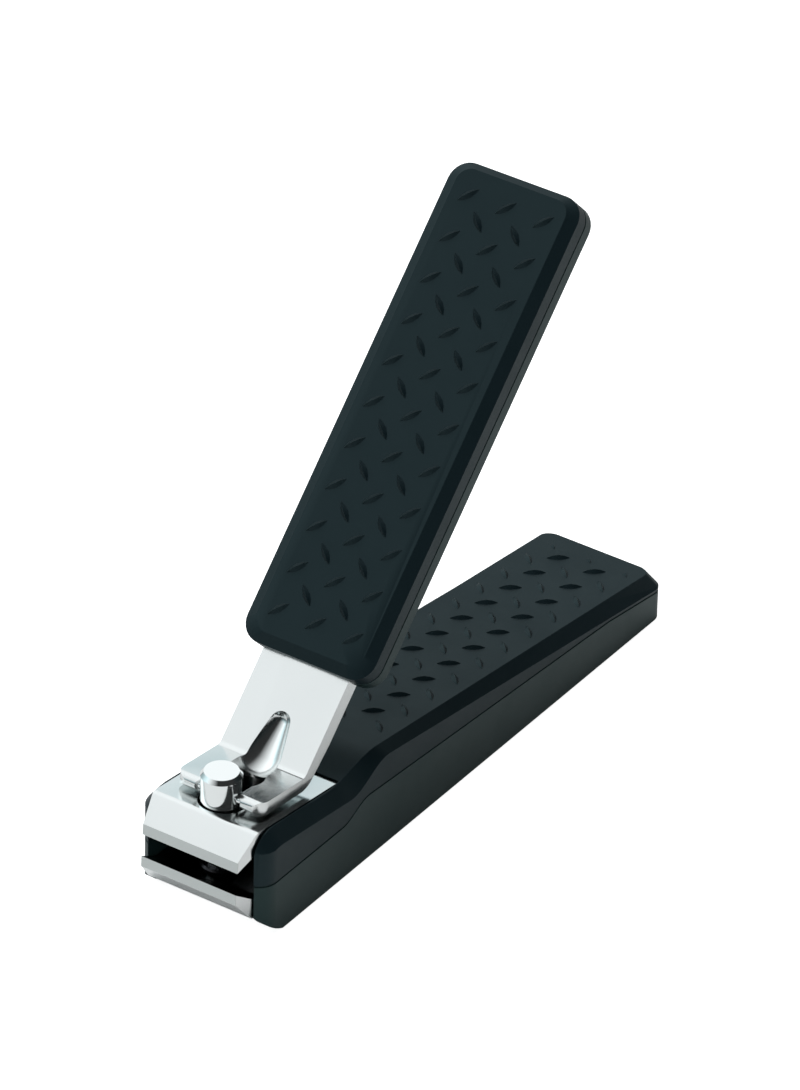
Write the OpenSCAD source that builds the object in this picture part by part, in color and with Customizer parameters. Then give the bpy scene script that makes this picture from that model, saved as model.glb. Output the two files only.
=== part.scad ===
// Nail clipper with a black two-part handle body, steel jaws and a swivelling lever with a black grip.
// Frame: origin on the post's axis, in the plane of the flat underside. The cutting edges face -Y,
// the handle runs towards +Y and +Z is up. All sizes are in millimetres and degrees.

/* [Body] */
// Width of the body and of the lever grip
body_w = 17.25; // [16:0.05:20]
// Distance from the post's axis back to the end of the body
body_back = 77; // [70:0.5:85]
// Distance from the post's axis forward to the end of the cheeks
body_front = 4; // [3:0.1:4.5]
// Height of the tread face at the back of the body
tail_h = 5.8; // [5.5:0.1:7]
// Slope of the tread face and of the upper jaw, rising to the front
slope = 7.1; // [5:0.1:9]
// Width of the flat tread faces between their bevels
face_w = 14.5; // [13:0.1:15]
// Radius of the body's upright corners at the back
corner_r = 2; // [1:0.1:3]
// Radius of the body's upright corners at the front
front_r = 2.5; // [1.5:0.1:4]
// Depth of the step from the tread face down to the jaw
deck_drop = 2.1; // [2:0.05:3]
// Thickness of the floor under the lower jaw
floor_t = 2.55; // [2:0.05:3]

/* [Jaws] */
// Width of the jaws at the bend
jaw_w = 13.9; // [13:0.1:14]
// Width of the cutting edges
edge_w = 12.7; // [12:0.1:13.5]
// Thickness of the jaw arms
jaw_t = 2; // [1.5:0.1:2.2]
// Height of the upper jaw's top face at the post's axis
jaw_top = 13.25; // [12.5:0.05:14]
// Distance from the post's axis back to the end of the jaw arms
jaw_back = 53; // [45:1:54]

/* [Post] */
// Diameter of the post
post_d = 4.75; // [4:0.05:5]
// Height of the post's top
post_top = 17.45; // [16.5:0.05:18.5]
// Height of the fork's pivot
pivot_z = 14.55; // [14.4:0.05:15]
// Diameter of the pivot pin
pin_d = 1.1; // [0.8:0.1:1.2]

/* [Lever] */
// Width of the steel lever
lever_w = 11.5; // [10:0.1:12]
// Thickness of the steel arm
arm_t = 2; // [1.6:0.1:2.2]
// Thickness of the fork
fork_t = 1.64; // [1.4:0.02:1.7]
// Angle between the fork and the arm
bend_deg = 52.2; // [45:0.1:60]
// Distance from the pivot to the bend
bend_at = 8.1; // [7.8:0.05:8.6]
// Length of the lever grip
grip_len = 58.8; // [50:0.1:65]
// Distance from the bend to the grip
grip_at = 12.2; // [10:0.1:14]

/* [Tread] */
// Pitch of the tread leaves across the grip
leaf_pitch = 5; // [4:0.1:6]
// Length of a tread leaf
leaf_len = 2.9; // [2:0.1:3.5]
// Width of a tread leaf
leaf_wid = 1; // [0.6:0.1:1.4]
// Height of a tread leaf
leaf_h = 0.4; // [0.2:0.02:0.5]

/* [Hidden] */
$fn = 64;
plastic = [0.12, 0.14, 0.15];
steel = [0.82, 0.83, 0.83];
dark = [0.2, 0.2, 0.21];

eps = 0.01;
big = 200;
hw = body_w / 2;              // half width of the body and grip
fw = face_w / 2;              // half width of the flat tread faces
cav = 7.1;                    // half width of the channel the jaws run in
run_gap = 0.1;                // clearance of moving steel from the body
seam = 0.2;                   // height of the seam line between two shells
seam_in = 0.14;               // depth of the seam line

// Side outline of the body: heights as functions of y
ramp_hi = 19.4;               // the ramp starts here and runs forward
ramp_len = 9.4;
edge_hi = 20;                 // the bevel's lower edge steps down from here
edge_len = 7.3;
edge_deck = 3.85;             // drop of that edge beside the jaw
edge_mid = 0.75;              // drop of that edge at the front of the tread
edge_tail = 1.7;              // drop of that edge at the back
nose_r = 3.5;                 // rounding of the cheeks' front, at the top
chin = [3.8, 3];              // length and height of their sloping bottom
chin_r = 9;                   // its rounding
tail_in = 0.95;               // length of the bevel at the back
part_front = 7.1;             // height of the parting line beside the jaw
part_hi = 8.7;                // its height at the top of the step
part_fall = 0.067;            // its fall per millimetre behind the step
part_step = [11.2, 16.4];     // where the step runs

function mix(a, b, t) = a + (b - a) * t;
function clamp01(t) = max(0, min(1, t));
function smooth(t) = let(u = clamp01(t)) u * u * (3 - 2 * u);
function tread_z(y) = tail_h + (body_back - tail_in - y) * tan(slope);
function nose(y) = let(d = clamp01((y + body_front) / nose_r)) nose_r * (1 - sqrt(max(0, 1 - pow(1 - d, 2))));
function inner_z(y) = tread_z(y) - deck_drop * smooth((ramp_hi - y) / ramp_len) - nose(y);
function bevel_drop(y) = mix(edge_mid, edge_tail, clamp01((y - edge_hi) / (body_back - edge_hi)));
function outer_z(y) = tread_z(y) - mix(bevel_drop(y), edge_deck, smooth((edge_hi - y) / edge_len)) - nose(y);
function part_back_z(y) = part_hi - part_fall * (y - part_step[1]);
function part_z(y) = min(outer_z(y) - 0.3,
    mix(part_front, part_back_z(y), smooth((y - part_step[0]) / (part_step[1] - part_step[0]))));
function arc(c, r, a0, a1, n = 8) = [for (i = [0:n]) let(a = mix(a0, a1, i / n)) c + r * [cos(a), sin(a)]];

function chin_centre() = let(n = [chin[1], chin[0]] / norm(chin))
    [-body_front, 0] + chin / 2 + n * sqrt(pow(chin_r, 2) - pow(norm(chin) / 2, 2));

// Stations along the body where its side outline is sampled
stations = concat(
    [for (i = [0:6]) -body_front + nose_r * (1 - cos(90 * i / 6))],
    [2, 6],
    [for (i = [0:16]) mix(ramp_hi - ramp_len, edge_hi, i / 16)],
    [35, 50, 65, body_back]);

// Jaw profile in the upper jaw's own frame: y from the post, z from its top face
bend_y = -3.1;                // bend line
lip = [-5.5, -2.97];          // top of the ground facet
edge = [-5.4, -4.32];         // cutting edge
bend_r = 0.8;                 // rounding of the bend
lower_shift = -0.7;           // offset of the lower jaw, so the closed edges meet
hole_r = 2.75;                // post hole in the upper jaw
hole_mid = 0.15;
hole_back = 6.4;              // the hole is a slot that ends here
slot_r = 2.3;
rivet_at = [3.2, 47];         // tail rivets
rivet_r = 1.2;
rivet_head = 2.1;
peg_at = 30;                  // peg that holds the lower jaw
peg_r = 1.25;

shank_r = 1.7;                // lower part of the post
step_z = 8;                   // where the post widens
top_chamfer = [0.38, 0.5];
foot_r = 2.3;                 // riveted foot of the post
foot_z = 1.5;
collar = [2.3, 4.75, 5.5];    // collar radius, bottom and top
pin_reach = 4.2;              // half length of the pivot pin
fit = 0.05;                   // radial running clearance

fork_gap = 2.5;               // half width of the fork's slot
eye_r = 2.85;                 // round end of the slot
eye_at = 3.55;
tip_r = 1.6;                  // rounding of the fork's tips
heel_r = 3;                   // outer radius of the bend
inner_r = 1;                  // inner radius of the bend
arm_hi = fork_t / 2;          // arm's upper face above the fork's middle plane
arm_lo = arm_hi - arm_t;
arm_end = 64;                 // steel arm's length past the bend
groove_end = 5.1;             // the groove's end, from the bend
grip_hi = arm_hi + 1.99;      // tread face of the grip
grip_seam = grip_hi - 2.5;    // side seam
grip_edge = grip_hi - 0.7;    // lower edge of the bevel
grip_low = grip_hi - 4.25;    // lower edge of the side
grip_under = grip_hi - 5.2;   // underside of the grip
grip_r = 2.6;
grip_rivets = [22, 60];

rows = 11;                    // rows of three leaves
row_pitch = leaf_pitch * 1.0155;
leaf_foot = 0.05;             // a leaf reaches this far below its face

// ---- helpers ----

// Extrudes a y-z outline across the part, centred on x = 0
module across(w) {
    rotate([90, 0, 90]) linear_extrude(height = w, center = true) children();
}

// Rectangle from y0 to y1 with half width w, its corners rounded by r0 in front and r1 at the back
module plate(w, y0, y1, r0, r1) {
    polygon([[-w + r0, y0], [w - r0, y0], [w, y0 + r0], [w, y1 - r1],
             [w - r1, y1], [-w + r1, y1], [-w, y1 - r1], [-w, y0 + r0]]);
    for (s = [-1, 1]) {
        translate([s * (w - r0), y0 + r0]) circle(r0);
        translate([s * (w - r1), y1 - r1]) circle(r1);
    }
}

module on_jaw() {
    translate([0, 0, jaw_top]) rotate([-slope, 0, 0]) children();
}

module on_fork() {
    translate([0, 0, pivot_z]) rotate([-slope, 0, 0]) children();
}

module on_arm() {
    on_fork() translate([0, bend_at, 0]) rotate([bend_deg, 0, 0]) children();
}

module on_tread() {
    translate([0, body_back - tail_in, tail_h]) rotate([-slope, 0, 0]) children();
}

// A spindle with a crest along x: its width and height fall to nothing at both ends
module leaf() {
    steps = [-0.94, -0.5, 0, 0.5, 0.94];
    n = len(steps);
    function swell(t) = 1 - t * t;
    points = concat(
        [for (t = steps) [t * leaf_len / 2, -swell(t) * leaf_wid / 2, -leaf_foot]],
        [for (t = steps) [t * leaf_len / 2, 0, swell(t) * leaf_h]],
        [for (t = steps) [t * leaf_len / 2, swell(t) * leaf_wid / 2, -leaf_foot]]);
    faces = concat(
        [for (i = [0:n - 2]) [i, n + i, n + i + 1]],
        [for (i = [0:n - 2]) [i, n + i + 1, i + 1]],
        [for (i = [0:n - 2]) [n + i, 2 * n + i, 2 * n + i + 1]],
        [for (i = [0:n - 2]) [n + i, 2 * n + i + 1, n + i + 1]],
        [for (i = [0:n - 2]) [2 * n + i, i, i + 1]],
        [for (i = [0:n - 2]) [2 * n + i, i + 1, 2 * n + i + 1]],
        [[0, 2 * n, n], [n - 1, 2 * n - 1, 3 * n - 1]]);
    polyhedron(points, faces);
}

// Rows of three and of two leaves, forward from the first row at y = 0
module tread(turn) {
    for (i = [0:rows - 1], x = [-1:1])
        translate([x * leaf_pitch, -i * row_pitch, 0]) rotate(turn) leaf();
    for (i = [0:rows - 2], x = [-0.5, 0.5])
        translate([x * leaf_pitch, -(i + 0.5) * row_pitch, 0]) rotate(-turn) leaf();
}

// ---- body ----

module body_plan(inset = 0) {
    plate(hw - inset, -body_front + inset, body_back - inset, front_r - inset, corner_r - inset);
}

module below_parting(lower = 0) {
    across(big) polygon(concat(
        [for (y = stations) [y, part_z(y) - lower]],
        [[body_back + 5, part_z(body_back) - lower], [body_back + 5, -5],
         [-body_front - 5, -5], [-body_front - 5, part_z(-body_front) - lower]]));
}

// Side strip between the flat faces' edge and the body's side, with the bevel on top
module side_strip() {
    n = len(stations);
    low = 3;
    points = concat(
        [for (y = stations) [fw, y, inner_z(y)]],
        [for (y = stations) [hw, y, outer_z(y)]],
        [for (y = stations) [fw, y, low]],
        [for (y = stations) [hw, y, low]]);
    faces = concat(
        [for (i = [0:n - 2]) [i, i + 1, n + i + 1]],
        [for (i = [0:n - 2]) [i, n + i + 1, n + i]],
        [for (i = [0:n - 2]) [2 * n + i, 3 * n + i, 3 * n + i + 1, 2 * n + i + 1]],
        [for (i = [0:n - 2]) [2 * n + i, 2 * n + i + 1, i + 1, i]],
        [for (i = [0:n - 2]) [3 * n + i + 1, 3 * n + i, n + i, n + i + 1]],
        [[0, n, 3 * n, 2 * n], [n - 1, 3 * n - 1, 4 * n - 1, 2 * n - 1]]);
    polyhedron(points, faces);
}

module body_upper_mass() {
    across(2 * fw + eps) polygon(concat(
        [for (y = stations) [y, inner_z(y)]], [[body_back, 3], [-body_front, 3]]));
    side_strip();
    mirror([1, 0, 0]) side_strip();
}

// Channel for the jaws, open at the front and above the deck
module channel() {
    on_jaw() translate([-cav, -30, -big]) cube([2 * cav, body_back - 1.8 + 30, big + run_gap]);
    translate([-cav, -30, 0]) cube([2 * cav, 30 + 12.4, big]);
}

// Slopes the bottom of the cheeks' front
module chin() {
    across(big) difference() {
        translate([-body_front - 1, -1]) square([chin[0] + 3, chin[1] + 3]);
        translate(chin_centre()) circle(chin_r);
    }
}

// Bevels the back of the tread face, with rounded corners
module tail_bevel() {
    low = edge_tail * cos(slope) - tail_in * sin(slope);
    reach = tail_in * cos(slope) + edge_tail * sin(slope);
    on_tread() difference() {
        translate([-hw - 1, -3, -low]) cube([body_w + 2, 6, low + 1]);
        hull() {
            translate([0, 0, -low - eps]) linear_extrude(eps)
                plate(hw + 0.03, -9, reach, 2, corner_r, $fn = 32);
            linear_extrude(eps) plate(fw + 0.03, -9, 0, 2, corner_r * 0.8, $fn = 32);
        }
    }
}

module shell_pegs(grow = 0) {
    for (x = [-4.2, 4.2], y = [60, 71])
        translate([x, y, 1]) cylinder(r = 0.9 + grow, h = tread_z(y) - 2 + grow);
}

module lower_shell() {
    color(plastic) difference() {
        union() {
            intersection() {
                linear_extrude(big) body_plan();
                below_parting(seam);
            }
            intersection() {
                linear_extrude(big) body_plan(seam_in);
                below_parting();
            }
        }
        translate([-cav, -30, floor_t]) cube([2 * cav, 30 + jaw_back + 0.3, big]);
        translate([-cav, jaw_back + 1, 1.4]) cube([2 * cav, body_back - jaw_back - 2.8, big]);
        // open front under the jaw, and the recess for the post's foot
        translate([-cav, -30, -1]) cube([2 * cav, 30 - 0.6, big]);
        translate([0, 0, -1]) cylinder(r = foot_r + 0.5, h = 5);
        translate([-foot_r - 0.5, -10, -1]) cube([2 * foot_r + 1, 10, 5]);
        chin();
    }
    color(plastic) {
        translate([0, peg_at, floor_t - eps]) cylinder(r = peg_r, h = jaw_t - 0.3);
        shell_pegs();
    }
}

module upper_shell() {
    color(plastic) difference() {
        union() {
            intersection() {
                body_upper_mass();
                linear_extrude(big) body_plan();
            }
            on_tread() translate([0, -2.4, 0]) tread(-45);
        }
        below_parting();
        channel();
        tail_bevel();
        shell_pegs(fit);
    }
}

// ---- jaws ----

module jaw_outline() {
    turn = atan2(-lip[1], bend_y - lip[0]);      // how far the lip turns down
    reach = bend_r * tan(turn / 2);
    end_y = jaw_back / cos(slope);
    polygon(concat(
        [[end_y, -jaw_t], [end_y, 0]],
        arc([bend_y + reach, -bend_r], bend_r, 90, 90 + turn, 6),
        [lip, edge, [-3.6, -3.08], [-2.2, -jaw_t - 0.2], [-1.2, -jaw_t]]));
}

module jaw_blank() {
    intersection() {
        across(jaw_w) jaw_outline();
        translate([0, 0, -10]) linear_extrude(20) polygon([
            [jaw_w / 2, big], [jaw_w / 2, bend_y], [edge_w / 2, lip[0]], [edge_w / 2, -big],
            [-edge_w / 2, -big], [-edge_w / 2, lip[0]], [-jaw_w / 2, bend_y], [-jaw_w / 2, big]]);
    }
}

// Rivet with flush conical heads, square to the upper jaw
module rivets(grow = 0) {
    for (x = [-rivet_at[0], rivet_at[0]]) translate([x, rivet_at[1], 0]) {
        translate([0, 0, rivet_r - rivet_head - eps])
            cylinder(r1 = rivet_r + grow, r2 = rivet_head + grow, h = rivet_head - rivet_r);
        translate([0, 0, -6]) cylinder(r = rivet_r + grow, h = 5.5);
        if (grow > 0) translate([0, 0, -0.02]) cylinder(r = rivet_head + grow, h = 1);
    }
}

module lower_jaw() {
    color(steel) difference() {
        translate([0, lower_shift, floor_t]) mirror([0, 0, 1]) jaw_blank();
        translate([0, 0, -1]) cylinder(r = shank_r + fit, h = 10);
        translate([0, peg_at, -1]) cylinder(r = peg_r + fit, h = 10);
        on_jaw() rivets(0.02);
    }
}

module upper_jaw() {
    color(steel) on_jaw() difference() {
        jaw_blank();
        translate([0, hole_mid, -10]) cylinder(r = hole_r, h = 20);
        translate([0, hole_back, -10]) cylinder(r = slot_r, h = 20);
        translate([-slot_r, hole_mid, -10]) cube([2 * slot_r, hole_back - hole_mid, 20]);
        rivets(0.25);
    }
}

module tail_rivet() {
    color(steel) intersection() {
        on_jaw() rivets();
        translate([-big / 2, -big / 2, floor_t + 0.02]) cube(big);
    }
}

// ---- post ----

module post() {
    r = post_d / 2;
    color(steel) difference() {
        rotate_extrude() polygon([
            [0, foot_z], [foot_r - 0.4, foot_z], [foot_r, foot_z + 0.4], [foot_r, floor_t - fit],
            [shank_r, floor_t - fit], [shank_r, step_z - 0.5], [r, step_z],
            [r, post_top - top_chamfer[1]], [r - top_chamfer[0], post_top], [0, post_top]]);
        translate([0, 0, pivot_z]) rotate([0, 90, 0]) cylinder(r = pin_d / 2 + fit, h = 10, center = true);
    }
}

module post_collar() {
    color(dark) rotate_extrude() polygon([
        [shank_r + eps, collar[1]], [collar[0], collar[1]], [collar[0], collar[2] - 0.25],
        [collar[0] - 0.25, collar[2]], [shank_r + eps, collar[2]]]);
}

module pivot_pin() {
    r = pin_d / 2;
    color(steel) translate([0, 0, pivot_z]) rotate([0, 90, 0]) rotate_extrude() polygon([
        [0, -pin_reach], [r - 0.15, -pin_reach], [r, -pin_reach + 0.15], [r, pin_reach - 0.15],
        [r - 0.15, pin_reach], [0, pin_reach]]);
}

// ---- lever ----

// Side outline of the steel lever in the fork's frame: nose about the pivot, fork, bend and arm
module lever_outline() {
    h = fork_t / 2;
    up = [cos(bend_deg), sin(bend_deg)];
    out = [sin(bend_deg), -cos(bend_deg)];
    corner = [bend_at, 0];
    inner_c = [bend_at - (h + inner_r) * tan(bend_deg / 2), h + inner_r];
    heel_c = [bend_at - (heel_r - h) * tan(bend_deg / 2), heel_r - h];
    circle(h);
    polygon(concat(
        [[0, -h]],
        arc(heel_c, heel_r, -90, -90 + bend_deg, 12),
        [corner + up * 5 - out * arm_lo, corner + up * arm_end - out * arm_lo,
         corner + up * arm_end - out * arm_hi],
        arc(inner_c, inner_r, -90 + bend_deg, -90, 8),
        [[0, h]]));
}

// Ball for the pressed groove where it runs through the bend
module groove_ball(y) {
    on_fork() translate([0, y, 2.58]) sphere(3, $fn = 32);
}

// Pressed groove that stiffens the bend, with a rounded end on the arm
module groove() {
    hull() {
        on_arm() translate([0, groove_end, arm_hi + 0.6]) sphere(1.4, $fn = 32);
        groove_ball(6.4);
    }
    hull() {
        groove_ball(6.4);
        groove_ball(5);
    }
}

// What the groove pushes out on the arm's other side
module groove_bulge() {
    hull() {
        on_arm() translate([0, groove_end - 0.7, arm_lo + 0.5]) sphere(0.65, $fn = 24);
        on_arm() translate([0, 2.2, arm_lo + 0.5]) sphere(1, $fn = 24);
    }
}

module fork_cuts() {
    translate([-fork_gap, -5, -3]) cube([2 * fork_gap, 5 + eye_at, 6]);
    translate([0, eye_at, -3]) cylinder(r = eye_r, h = 6);
    for (s = [-1, 1]) {
        translate([s * fork_gap, -1.1, -3]) rotate(45) translate([-0.6, -0.6]) cube([1.2, 1.2, 6]);
        // rounded outer corner of the tip
        translate([s * (lever_w / 2 - tip_r), tip_r - fork_t / 2, -3]) difference() {
            translate([s > 0 ? 0 : -3, -3, 0]) cube([3, 3, 6]);
            translate([0, 0, -1]) cylinder(r = tip_r, h = 8);
        }
    }
    rotate([0, 90, 0]) cylinder(r = pin_d / 2 + fit, h = 2 * (pin_reach + fit), center = true);
}

module lever_arm() {
    color(steel) difference() {
        union() {
            on_fork() across(lever_w) lever_outline();
            groove_bulge();
        }
        on_fork() fork_cuts();
        groove();
        on_arm() for (y = grip_rivets) translate([0, y, -5]) cylinder(r = 1.6, h = 10);
    }
}

// ---- grip ----

module grip_slab(z, inset, front = 0, back = 0, t = eps) {
    translate([0, 0, z]) linear_extrude(t)
        plate(hw - inset, grip_at + front, grip_at + grip_len - back,
              grip_r - 0.6 * inset, grip_r - 0.6 * inset, $fn = 32);
}

module arm_pocket() {
    translate([-lever_w / 2 - fit, 0, arm_lo - fit])
        cube([lever_w + 2 * fit, arm_end + 0.3, arm_t + 2 * fit]);
}

module grip_top() {
    color(plastic) on_arm() difference() {
        union() {
            hull() {
                grip_slab(grip_seam, 0, t = grip_edge - grip_seam);
                grip_slab(grip_hi - eps, hw - fw, front = 1.3, back = 0.8);
            }
            translate([0, grip_at + grip_len - 3.75, grip_hi]) tread(45);
        }
        arm_pocket();
        for (y = grip_rivets) translate([0, y, 0]) cylinder(r = 1.5 + fit, h = 2.1);
    }
}

module grip_bottom() {
    color(plastic) on_arm() difference() {
        union() {
            hull() {
                grip_slab(grip_low, 0, t = grip_seam - seam - grip_low);
                grip_slab(grip_under, 1, front = 1, back = 1);
            }
            grip_slab(grip_low + 0.5, seam_in, seam_in, seam_in, grip_seam - grip_low - 0.5);
        }
        arm_pocket();
        for (y = grip_rivets) translate([0, y, -5]) {
            cylinder(r = 1.5 + fit, h = 10);
            translate([0, 0, 5 + grip_under - 1]) cylinder(r = 2.5 + fit, h = 1.6);
        }
    }
}

module grip_rivet() {
    color(steel) on_arm() for (y = grip_rivets) translate([0, y, 0]) {
        translate([0, 0, grip_under + 0.05]) cylinder(r = 2.5, h = 0.5);
        translate([0, 0, grip_under + 0.1]) cylinder(r = 1.5, h = 2 - grip_under - 0.1);
    }
}

lower_shell();
upper_shell();
lower_jaw();
upper_jaw();
tail_rivet();
post();
post_collar();
pivot_pin();
lever_arm();
grip_top();
grip_bottom();
grip_rivet();
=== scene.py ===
"""Looks for the nail clipper: materials, softened edges, floor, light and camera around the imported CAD."""

import math

import bpy
from mathutils import Matrix, Vector

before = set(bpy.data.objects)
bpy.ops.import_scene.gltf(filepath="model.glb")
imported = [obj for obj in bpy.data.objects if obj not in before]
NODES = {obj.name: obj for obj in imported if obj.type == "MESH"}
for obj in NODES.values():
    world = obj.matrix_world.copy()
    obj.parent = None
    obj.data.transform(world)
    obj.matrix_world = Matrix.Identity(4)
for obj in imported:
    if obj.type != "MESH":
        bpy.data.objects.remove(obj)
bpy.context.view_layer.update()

MM = 0.001                              # Blender's lengths are in metres

# Plastic: colours, and the tints of their reflections
TREAD_BLACK = (0.0045, 0.0095, 0.0118)
TREAD_TINT = (0.62, 0.94, 1.0)
SIDE_BLACK = (0.0075, 0.0165, 0.0168)
SIDE_TINT = (0.68, 1.0, 0.99)
PLASTIC_IOR = 1.47
PLASTIC_GRAIN = 5200                    # noise scales, per metre
PLASTIC_MARKS = 160

# Steel: colours, and the satin finish of the jaws, the lever and the rivets
SATIN = (0.79, 0.81, 0.805)
SATIN_ROUGH = 0.17
SATIN_BUMP = 0.25
GROUND = (0.6, 0.63, 0.62)              # the cutting faces, straight from the wheel
JAW_INNER_SHADE = (0.05, 0.053, 0.056)         # painted shade: multiplies the colour on the jaws' inner faces, darkening the shaded mouth between the jaws
POLISHED = (0.9, 0.925, 0.92)
# near-black steel for the collar that shows between the blades
COLLAR_DARK = (0.05, 0.05, 0.055)
STREAKS = (9000, 260, 9000)             # noise scales, per metre: the brushing runs along Y
STEEL_CLOUDS = 220
GROUND_GRAIN = 6500
GROUND_ROUGH = (0.34, 0.5)

BUMP_DEPTH = 0.012 * MM
ROUGH_SPREAD = (-0.03, 0.04)            # broad variation about a material's roughness
STREAK_SPREAD = (-0.05, 0.06)           # fine variation along the brushing

# The upper jaw's own frame is turned down by this slope about the height where the post leaves it
JAW_SLOPE = math.radians(7.1)
JAW_TOP = 13.25
JAW_Y = -JAW_TOP * math.sin(JAW_SLOPE)
JAW_Z = JAW_TOP * math.cos(JAW_SLOPE)

# Ground cutting faces, in millimetres: after the turn they lie in front of y and between two heights
UPPER_GROUND = {"turn": JAW_SLOPE, "front": JAW_Y - 5.37, "low": JAW_Z - 4.4, "high": JAW_Z - 2.96}
LOWER_GROUND = {"turn": 0.0, "front": -6.07, "low": 5.53, "high": 6.9}

# Width of the bevel on each piece's edges, in millimetres: CAD corners are sharp, made ones are not
SOFTNESS = {
    "lower_shell": 0.16,
    "upper_shell": 0.12,
    "lower_jaw": 0.05,
    "upper_jaw": 0.05,
    "post": 0.1,
    "pivot_pin": 0.05,
    "lever_arm": 0.12,
    "grip_top": 0.16,
    "grip_bottom": 0.16,
    "tail_rivet": 0.05,
    "grip_rivet": 0.08,
    "post_collar": 0.04,
}
WELD_GAP = 0.002 * MM                   # corners closer than this are one corner
FLAT_ANGLE = math.radians(0.4)          # faces that meet at less than this become one face
SMOOTH_ANGLE = math.radians(26)         # edges above this are shaded sharp
BEVEL_ANGLE = math.radians(28)          # and above this they are bevelled

# Studio, in metres
FLOOR_HALF = 3.0
FLOOR_DROP = 0.02 * MM
FLOOR_WHITE = 0.8
FLOOR_GLOW = 0.82                       # seen by the camera only
PAPER_NEAR, PAPER_FAR = 0.2, 0.5        # between these distances the paper's colour falls off in reflections, painted shade for light fading far from the clipper ...
PAPER_END = 0.25                        # ... to this
BRIGHT_SIDE = Vector((-1.0, 0.05, 0.35)).normalized()
SIDE_LIGHT = (0.03, 1.58)               # strength square to the bright side, and straight along it
HEIGHT_SPAN = (0.06, 0.52)              # over this rise of the direction ...
HEIGHT_LIGHT = (0.32, 1.0)              # ... the strength is multiplied by this
COOL_SPAN = (0.3, 0.55)                 # and over this rise the colour goes from cool to nearly white
STUDIO_COOL = (0.74, 0.95, 1.0)
STUDIO_WHITE = (0.95, 0.985, 1.0)

# Camera, fitted to the photograph
CAMERA_AZIMUTH = math.radians(33.563)
CAMERA_ELEVATION = math.radians(33.316)
CAMERA_ROLL = math.radians(1.478)
CAMERA_DISTANCE = 0.9246
CAMERA_TARGET = Vector((-0.00127, 0.03601, 0.02735))
LENS = 273.3
SENSOR = 36.0


# ---- small helpers for node trees ----


def new_material(name):
    """A material, its node tree and its Principled shader."""
    mat = bpy.data.materials.new(name)
    mat.use_nodes = True
    tree = mat.node_tree
    tree.nodes.clear()
    out = tree.nodes.new("ShaderNodeOutputMaterial")
    bsdf = tree.nodes.new("ShaderNodeBsdfPrincipled")
    tree.links.new(bsdf.outputs["BSDF"], out.inputs["Surface"])
    return mat, tree, bsdf


def add(tree, kind, inputs=None, **props):
    """Adds a node with its properties and its unlinked inputs set."""
    node = tree.nodes.new(kind)
    for key, value in props.items():
        setattr(node, key, value)
    for key, value in (inputs or {}).items():
        node.inputs[key].default_value = value
    return node


def math_node(tree, operation, first, second):
    """A maths node; each operand is a socket or a number."""
    node = add(tree, "ShaderNodeMath", operation=operation)
    for slot, value in enumerate((first, second)):
        if isinstance(value, (int, float)):
            node.inputs[slot].default_value = value
        else:
            tree.links.new(value, node.inputs[slot])
    return node.outputs[0]


def object_coords(tree, **mapping):
    """The piece's own coordinates, in metres, after a mapping such as Scale or Rotation."""
    coord = add(tree, "ShaderNodeTexCoord")
    node = add(tree, "ShaderNodeMapping", mapping)
    tree.links.new(coord.outputs["Object"], node.inputs["Vector"])
    return node.outputs["Vector"]


def noise(tree, vector, scale, detail, rough=0.55):
    node = add(tree, "ShaderNodeTexNoise", {"Scale": scale, "Detail": detail, "Roughness": rough})
    tree.links.new(vector, node.inputs["Vector"])
    return node.outputs["Fac"]


def ramp(tree, value, source, target, smooth=False):
    """Maps the span source of a value to the span target, and holds it at the ends."""
    spans = {"From Min": source[0], "From Max": source[1], "To Min": target[0], "To Max": target[1]}
    kind = "SMOOTHSTEP" if smooth else "LINEAR"
    node = add(tree, "ShaderNodeMapRange", spans, interpolation_type=kind)
    tree.links.new(value, node.inputs["Value"])
    return node.outputs["Result"]


def spread(tree, value, low, high):
    """Maps the middle of a noise to the span from low to high."""
    return ramp(tree, value, (0.3, 0.7), (low, high))


def bump(tree, bsdf, height, strength):
    node = add(tree, "ShaderNodeBump", {"Strength": strength, "Distance": BUMP_DEPTH})
    tree.links.new(height, node.inputs["Height"])
    tree.links.new(node.outputs["Normal"], bsdf.inputs["Normal"])


def blend_values(tree, factor, first, second):
    """Mixes two value sockets by a factor socket."""
    node = add(tree, "ShaderNodeMix", data_type="FLOAT")
    tree.links.new(factor, node.inputs[0])
    tree.links.new(first, node.inputs[2])
    tree.links.new(second, node.inputs[3])
    return node.outputs[0]


def blend_colors(tree, factor, first, second):
    """Mixes two plain colours by a factor socket."""
    node = add(tree, "ShaderNodeMix", data_type="RGBA")
    tree.links.new(factor, node.inputs[0])
    node.inputs[6].default_value = (*first, 1)
    node.inputs[7].default_value = (*second, 1)
    return node.outputs[2]


def multiply_colors(tree, first, second):
    node = add(tree, "ShaderNodeVectorMath", operation="MULTIPLY")
    tree.links.new(first, node.inputs[0])
    tree.links.new(second, node.inputs[1])
    return node.outputs[0]


def facing_mask(tree, side):
    """1 where the surface faces up (side 1) or down (side -1)."""
    coord = add(tree, "ShaderNodeTexCoord")
    split = add(tree, "ShaderNodeSeparateXYZ")
    tree.links.new(coord.outputs["Normal"], split.inputs[0])
    return ramp(tree, split.outputs["Z"], (0.3 * side, 0.5 * side), (0.0, 1.0))


def ground_mask(tree, ground):
    """1 on the ground cutting face, 0 elsewhere."""
    split = add(tree, "ShaderNodeSeparateXYZ")
    tree.links.new(object_coords(tree, Rotation=(ground["turn"], 0, 0)), split.inputs[0])
    in_front = math_node(tree, "LESS_THAN", split.outputs["Y"], ground["front"] * MM)
    above = math_node(tree, "GREATER_THAN", split.outputs["Z"], ground["low"] * MM)
    below = math_node(tree, "LESS_THAN", split.outputs["Z"], ground["high"] * MM)
    return math_node(tree, "MULTIPLY", math_node(tree, "MULTIPLY", in_front, above), below)


# ---- materials ----


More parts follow.
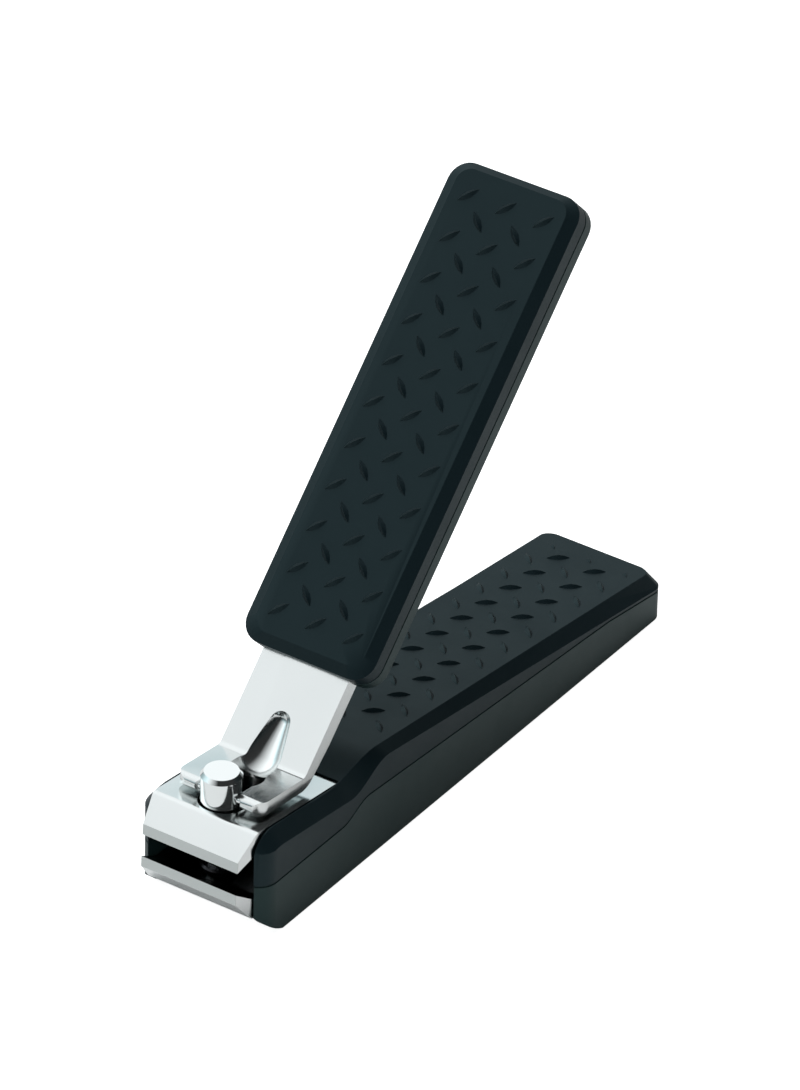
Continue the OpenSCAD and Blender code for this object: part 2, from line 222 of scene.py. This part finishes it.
def soft_plastic(name, color, tint, rough, grain, shine):
    """Matte moulded plastic with a fine spark-eroded grain and faint handling marks."""
    mat, tree, bsdf = new_material(name)
    place = object_coords(tree)
    fine = noise(tree, place, PLASTIC_GRAIN, 3.0)
    broad = noise(tree, place, PLASTIC_MARKS, 3.0)
    bsdf.inputs["Base Color"].default_value = (*color, 1)
    bsdf.inputs["IOR"].default_value = PLASTIC_IOR
    bsdf.inputs["Specular IOR Level"].default_value = shine
    bsdf.inputs["Specular Tint"].default_value = (*tint, 1)
    low, high = ROUGH_SPREAD
    tree.links.new(spread(tree, broad, rough + low, rough + high), bsdf.inputs["Roughness"])
    bump(tree, bsdf, fine, grain)
    return mat


def streaked_metal(name, rough):
    """A metal to be finished: its material, tree, shader, streaks along Y, and roughness."""
    mat, tree, bsdf = new_material(name)
    bsdf.inputs["Metallic"].default_value = 1.0
    streaks = noise(tree, object_coords(tree, Scale=STREAKS), 1.0, 5.0, 0.6)
    clouds = noise(tree, object_coords(tree), STEEL_CLOUDS, 3.0)
    low, high = ROUGH_SPREAD
    broad = spread(tree, clouds, rough + low, rough + high)
    roughness = math_node(tree, "ADD", spread(tree, streaks, *STREAK_SPREAD), broad)
    return mat, tree, bsdf, streaks, roughness


def steel(name, color=SATIN, rough=SATIN_ROUGH, strength=SATIN_BUMP):
    """Steel with one finish all over."""
    mat, tree, bsdf, streaks, roughness = streaked_metal(name, rough)
    bsdf.inputs["Base Color"].default_value = (*color, 1)
    tree.links.new(roughness, bsdf.inputs["Roughness"])
    bump(tree, bsdf, streaks, strength)
    return mat


def jaw_steel(name, ground, inner_side):
    """Satin steel with a ground cutting face. The faces on the inner side (1 up, -1 down) carry painted
    shade for the dark mouth between the jaws.
    """
    mat, tree, bsdf, streaks, roughness = streaked_metal(name, SATIN_ROUGH)
    mask = ground_mask(tree, ground)
    grain = noise(tree, object_coords(tree), GROUND_GRAIN, 2.0, 0.7)
    color = blend_colors(tree, mask, SATIN, GROUND)
    # painted shade on the faces turned into the mouth between the jaws
    shade = blend_colors(tree, facing_mask(tree, inner_side), (1, 1, 1), JAW_INNER_SHADE)
    tree.links.new(multiply_colors(tree, color, shade), bsdf.inputs["Base Color"])
    ground_rough = spread(tree, grain, *GROUND_ROUGH)
    tree.links.new(blend_values(tree, mask, roughness, ground_rough), bsdf.inputs["Roughness"])
    bump(tree, bsdf, blend_values(tree, mask, streaks, grain), SATIN_BUMP)
    return mat


def finish_pieces():
    """Gives each piece its material."""
    tread = soft_plastic("tread_black", TREAD_BLACK, TREAD_TINT, rough=0.44, grain=0.35, shine=0.3)
    side = soft_plastic("side_black", SIDE_BLACK, SIDE_TINT, rough=0.42, grain=0.25, shine=0.4)
    satin = steel("satin_steel")
    polished = steel("polished_steel", POLISHED, rough=0.08, strength=0.06)
    finishes = {
        "lower_shell": side,
        "upper_shell": tread,
        "lower_jaw": jaw_steel("lower_satin", LOWER_GROUND, 1),
        "upper_jaw": jaw_steel("upper_satin", UPPER_GROUND, -1),
        "tail_rivet": satin,
        "post": polished,
        "post_collar": steel("dark_steel", COLLAR_DARK, rough=0.3, strength=0.1),
        "pivot_pin": polished,
        "lever_arm": satin,
        "grip_top": tread,
        "grip_bottom": side,
        "grip_rivet": satin,
    }
    for name, mat in finishes.items():
        mesh = NODES[name].data
        mesh.materials.clear()
        mesh.materials.append(mat)


# ---- softened edges ----


def geometry_group(name):
    """An empty geometry node group, its input node and its output node."""
    group = bpy.data.node_groups.new(name, "GeometryNodeTree")
    group.interface.new_socket("Geometry", in_out="INPUT", socket_type="NodeSocketGeometry")
    group.interface.new_socket("Geometry", in_out="OUTPUT", socket_type="NodeSocketGeometry")
    return group, group.nodes.new("NodeGroupInput"), group.nodes.new("NodeGroupOutput")


def joined_group():
    """Joins the frame's separate faces along their edges, so that the bevel finds those edges."""
    group, first, last = geometry_group("joined")
    merge = group.nodes.new("GeometryNodeMergeByDistance")
    merge.inputs["Distance"].default_value = WELD_GAP
    plain = group.nodes.new("GeometryNodeRemoveAttribute")
    plain.inputs["Name"].default_value = "custom_normal"
    group.links.new(first.outputs[0], merge.inputs["Geometry"])
    group.links.new(merge.outputs["Geometry"], plain.inputs["Geometry"])
    group.links.new(plain.outputs["Geometry"], last.inputs[0])
    return group


def smoothed_group():
    """Shades the surface smooth, except across edges sharper than the smooth angle."""
    group, first, last = geometry_group("smoothed")
    all_faces = group.nodes.new("GeometryNodeSetShadeSmooth")
    sharp_edges = group.nodes.new("GeometryNodeSetShadeSmooth")
    sharp_edges.domain = "EDGE"
    sharp_edges.inputs["Shade Smooth"].default_value = False
    angle = group.nodes.new("GeometryNodeInputMeshEdgeAngle")
    sharper = group.nodes.new("FunctionNodeCompare")
    sharper.data_type = "FLOAT"
    sharper.operation = "GREATER_THAN"
    sharper.inputs["B"].default_value = SMOOTH_ANGLE
    group.links.new(angle.outputs["Unsigned Angle"], sharper.inputs["A"])
    group.links.new(sharper.outputs["Result"], sharp_edges.inputs["Selection"])
    group.links.new(first.outputs[0], all_faces.inputs["Geometry"])
    group.links.new(all_faces.outputs["Geometry"], sharp_edges.inputs["Geometry"])
    group.links.new(sharp_edges.outputs["Geometry"], last.inputs[0])
    return group


def soften_edges():
    """Joins, flattens and bevels every piece."""
    joined = joined_group()
    smoothed = smoothed_group()
    for name, width in SOFTNESS.items():
        stack = NODES[name].modifiers
        stack.new("joined", "NODES").node_group = joined
        flat = stack.new("flat faces", "DECIMATE")
        flat.decimate_type = "DISSOLVE"
        flat.angle_limit = FLAT_ANGLE
        stack.new("smoothed", "NODES").node_group = smoothed
        bevel = stack.new("softened", "BEVEL")
        bevel.width = width * MM
        bevel.segments = 3
        bevel.limit_method = "ANGLE"
        bevel.angle_limit = BEVEL_ANGLE
        bevel.use_clamp_overlap = True
        bevel.harden_normals = True


# ---- floor, light and camera ----


def area_light(name, place, aim, size, power):
    """A square light that lights the clipper but isn't seen in its reflections."""
    data = bpy.data.lights.new(name, "AREA")
    data.shape = "RECTANGLE"
    data.size = size
    data.size_y = size
    data.energy = power
    lamp = bpy.data.objects.new(name, data)
    lamp.location = place
    lamp.visible_glossy = False
    lamp.rotation_euler = (Vector(aim) - Vector(place)).to_track_quat("-Z", "Y").to_euler()
    bpy.context.scene.collection.objects.link(lamp)


def make_floor():
    """White paper to the camera; in reflections its far part darkens with painted shade."""
    mesh = bpy.data.meshes.new("floor")
    corners = [(x * FLOOR_HALF, y * FLOOR_HALF, 0) for x, y in ((-1, -1), (1, -1), (1, 1), (-1, 1))]
    mesh.from_pydata(corners, [], [(0, 1, 2, 3)])
    floor = bpy.data.objects.new("floor", mesh)
    floor.location.z = -FLOOR_DROP
    bpy.context.scene.collection.objects.link(floor)
    mat, tree, bsdf = new_material("floor_white")
    bsdf.inputs["Roughness"].default_value = 0.7
    bsdf.inputs["Specular IOR Level"].default_value = 0.0
    bsdf.inputs["Emission Color"].default_value = (1, 1, 1, 1)
    coord = add(tree, "ShaderNodeTexCoord")
    reach = add(tree, "ShaderNodeVectorMath", operation="LENGTH")
    tree.links.new(coord.outputs["Object"], reach.inputs[0])
    seen = add(tree, "ShaderNodeLightPath").outputs["Is Camera Ray"]
    # painted shade: in reflections the paper's colour falls off with distance
    paper = ramp(tree, reach.outputs["Value"], (PAPER_NEAR, PAPER_FAR), (FLOOR_WHITE, PAPER_END), True)
    shade = math_node(tree, "MAXIMUM", paper, math_node(tree, "MULTIPLY", seen, FLOOR_WHITE))
    tree.links.new(shade, bsdf.inputs["Base Color"])
    tree.links.new(math_node(tree, "MULTIPLY", seen, FLOOR_GLOW), bsdf.inputs["Emission Strength"])
    mesh.materials.append(mat)


def make_world():
    """White to the camera; otherwise a studio that is bright overhead and at the left, dark at the right,
    and dimmer and cooler towards the horizon."""
    world = bpy.data.worlds.new("studio")
    bpy.context.scene.world = world
    world.use_nodes = True
    tree = world.node_tree
    tree.nodes.clear()
    out = add(tree, "ShaderNodeOutputWorld")
    seen = add(tree, "ShaderNodeBackground", {"Color": (1, 1, 1, 1), "Strength": 1.0})
    lit = add(tree, "ShaderNodeBackground")
    pick = add(tree, "ShaderNodeMixShader")
    path = add(tree, "ShaderNodeLightPath")
    coord = add(tree, "ShaderNodeTexCoord")
    along = add(tree, "ShaderNodeVectorMath", operation="DOT_PRODUCT")
    along.inputs[1].default_value = BRIGHT_SIDE
    split = add(tree, "ShaderNodeSeparateXYZ")
    tree.links.new(coord.outputs["Generated"], along.inputs[0])
    tree.links.new(coord.outputs["Generated"], split.inputs[0])
    left = ramp(tree, along.outputs["Value"], (0.0, 1.0), SIDE_LIGHT)
    high = ramp(tree, split.outputs["Z"], HEIGHT_SPAN, HEIGHT_LIGHT, smooth=True)
    tree.links.new(math_node(tree, "MULTIPLY", left, high), lit.inputs["Strength"])
    warmth = ramp(tree, split.outputs["Z"], COOL_SPAN, (0.0, 1.0), smooth=True)
    tree.links.new(blend_colors(tree, warmth, STUDIO_COOL, STUDIO_WHITE), lit.inputs["Color"])
    tree.links.new(path.outputs["Is Camera Ray"], pick.inputs[0])
    tree.links.new(lit.outputs[0], pick.inputs[1])
    tree.links.new(seen.outputs[0], pick.inputs[2])
    tree.links.new(pick.outputs[0], out.inputs["Surface"])


def make_camera():
    """A long lens at the photograph's angle."""
    data = bpy.data.cameras.new("camera")
    data.lens = LENS
    data.sensor_width = SENSOR
    data.clip_start = 0.05
    data.clip_end = 20
    camera = bpy.data.objects.new("camera", data)
    level = math.cos(CAMERA_ELEVATION)
    back = Vector(
        (math.sin(CAMERA_AZIMUTH) * level, -math.cos(CAMERA_AZIMUTH) * level, math.sin(CAMERA_ELEVATION))
    )
    turn = (-back).to_track_quat("-Z", "Y").to_matrix() @ Matrix.Rotation(CAMERA_ROLL, 3, "Z")
    camera.matrix_world = Matrix.Translation(CAMERA_TARGET + back * CAMERA_DISTANCE) @ turn.to_4x4()
    bpy.context.scene.collection.objects.link(camera)
    bpy.context.scene.camera = camera


finish_pieces()
soften_edges()
make_floor()
make_world()
area_light("overhead", place=(-0.15, 0.12, 0.9), aim=(0, 0.03, 0), size=0.5, power=3.5)
area_light("right fill", place=(0.62, -0.38, 0.3), aim=(0, 0.03, 0.01), size=0.25, power=2.2)
make_camera()
bpy.context.scene.view_settings.view_transform = "Standard"
